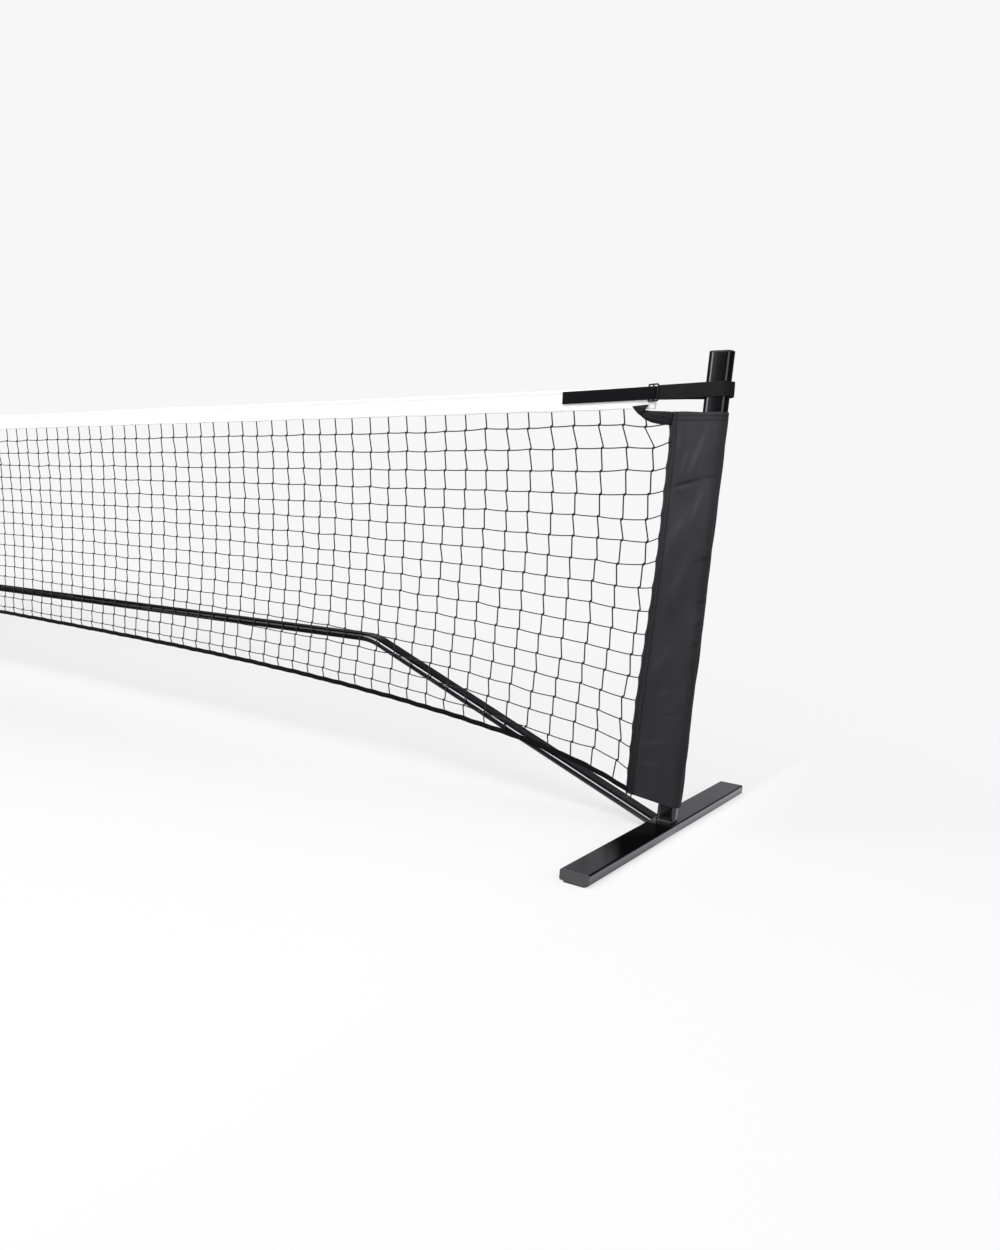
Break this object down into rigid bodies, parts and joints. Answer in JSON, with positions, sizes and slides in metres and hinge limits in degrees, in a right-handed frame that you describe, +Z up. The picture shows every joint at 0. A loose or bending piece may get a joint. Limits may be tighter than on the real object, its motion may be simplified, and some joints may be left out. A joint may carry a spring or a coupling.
{
  "type": "portable pickleball net",
  "caption": "Portable pickleball net with lift-off uprights on flat feet, a snap-together oval tube frame, a centre support and a full net with sleeves and straps.",
  "frame": {"origin": "floor level under the centre of the net, midway along the feet", "axes": "+X along the net, +Z up, -Y towards the net's front"},
  "size_m": [6.766, 0.86, 0.975],
  "materials": {
    "powder_coat": "gloss black powder coat",
    "plastic_black": "satin",
    "buckle_black": "moulded",
    "rubber_black": "matt",
    "zinc": "zinc plated",
    "netting": "knotted twine",
    "band_white": "coated woven",
    "webbing": "woven webbing",
    "sleeve_fabric": "woven polyester",
    "loop_cord": "braided"
  },
  "bodies": {
    "frame": {"foot_right": "powder_coat", "foot_left": "powder_coat", "foot_plugs_right": "plastic_black", "foot_plugs_left": "plastic_black", "foot_pads_right": "rubber_black", "foot_pads_left": "rubber_black", "post_stub_right": "powder_coat", "post_stub_left": "powder_coat", "rail_stub_right": "powder_coat", "rail_stub_left": "powder_coat", "stop_pins": "zinc", "end_rail_right": "powder_coat", "end_rail_left": "powder_coat", "outer_rail_right": "powder_coat", "outer_rail_left": "powder_coat", "inner_rail_right": "powder_coat", "inner_rail_left": "powder_coat", "button_springs": "zinc", "centre_foot": "powder_coat", "centre_foot_plugs": "plastic_black", "centre_foot_pads": "rubber_black", "centre_stem": "powder_coat", "centre_tee": "powder_coat", "pole_socket": "powder_coat", "centre_pole": "powder_coat", "pole_cap": "plastic_black"},
    "right_upright": {"upright_right": "powder_coat", "upright_cap_right": "plastic_black"},
    "left_upright": {"upright_left": "powder_coat", "upright_cap_left": "plastic_black"},
    "net": {"net_mesh": "netting", "top_band": "band_white", "bottom_hem": "webbing", "sleeve_right": "sleeve_fabric", "sleeve_left": "sleeve_fabric", "corner_tab_right": "sleeve_fabric", "corner_tab_left": "sleeve_fabric", "strap_right": "webbing", "strap_left": "webbing", "strap_buckle_right": "buckle_black", "strap_buckle_left": "buckle_black", "strap_anchors": "webbing", "hem_loops": "loop_cord", "centre_pocket": "sleeve_fabric"},
    "foot_button_right": {"foot_button_right": "zinc"},
    "foot_button_left": {"foot_button_left": "zinc"},
    "outer_button_right": {"outer_button_right": "zinc"},
    "outer_button_left": {"outer_button_left": "zinc"},
    "inner_button_right": {"inner_button_right": "zinc"},
    "inner_button_left": {"inner_button_left": "zinc"},
    "centre_button_right": {"centre_button_right": "zinc"},
    "centre_button_left": {"centre_button_left": "zinc"}
  },
  "joints": [
    {"name": "right_upright_lift", "type": "slide", "parent": "frame", "child": "right_upright", "axis": [0, 0, 1], "range_m": [0, 0.11]},
    {"name": "left_upright_lift", "type": "slide", "parent": "frame", "child": "left_upright", "axis": [0, 0, 1], "range_m": [0, 0.11]},
    {"name": "net_lift", "type": "slide", "parent": "frame", "child": "net", "axis": [0, 0, 1], "range_m": [0, 0.95]},
    {"name": "foot_button_right_press", "type": "slide", "parent": "frame", "child": "foot_button_right", "axis": [0, -1, 0], "range_m": [0, 0.0044], "stiffness_N_per_m": 500, "springref_m": -0.002, "deforming": ["button_springs"]},
    {"name": "foot_button_left_press", "type": "slide", "parent": "frame", "child": "foot_button_left", "axis": [0, -1, 0], "range_m": [0, 0.0044], "stiffness_N_per_m": 500, "springref_m": -0.002, "deforming": ["button_springs"]},
    {"name": "outer_button_right_press", "type": "slide", "parent": "frame", "child": "outer_button_right", "axis": [0, -1, 0], "range_m": [0, 0.0044], "stiffness_N_per_m": 500, "springref_m": -0.002, "deforming": ["button_springs"]},
    {"name": "outer_button_left_press", "type": "slide", "parent": "frame", "child": "outer_button_left", "axis": [0, -1, 0], "range_m": [0, 0.0044], "stiffness_N_per_m": 500, "springref_m": -0.002, "deforming": ["button_springs"]},
    {"name": "inner_button_right_press", "type": "slide", "parent": "frame", "child": "inner_button_right", "axis": [0, -1, 0], "range_m": [0, 0.0044], "stiffness_N_per_m": 500, "springref_m": -0.002, "deforming": ["button_springs"]},
    {"name": "inner_button_left_press", "type": "slide", "parent": "frame", "child": "inner_button_left", "axis": [0, -1, 0], "range_m": [0, 0.0044], "stiffness_N_per_m": 500, "springref_m": -0.002, "deforming": ["button_springs"]},
    {"name": "centre_button_right_press", "type": "slide", "parent": "frame", "child": "centre_button_right", "axis": [0, -1, 0], "range_m": [0, 0.0044], "stiffness_N_per_m": 500, "springref_m": -0.002, "deforming": ["button_springs"]},
    {"name": "centre_button_left_press", "type": "slide", "parent": "frame", "child": "centre_button_left", "axis": [0, -1, 0], "range_m": [0, 0.0044], "stiffness_N_per_m": 500, "springref_m": -0.002, "deforming": ["button_springs"]}
  ]
}
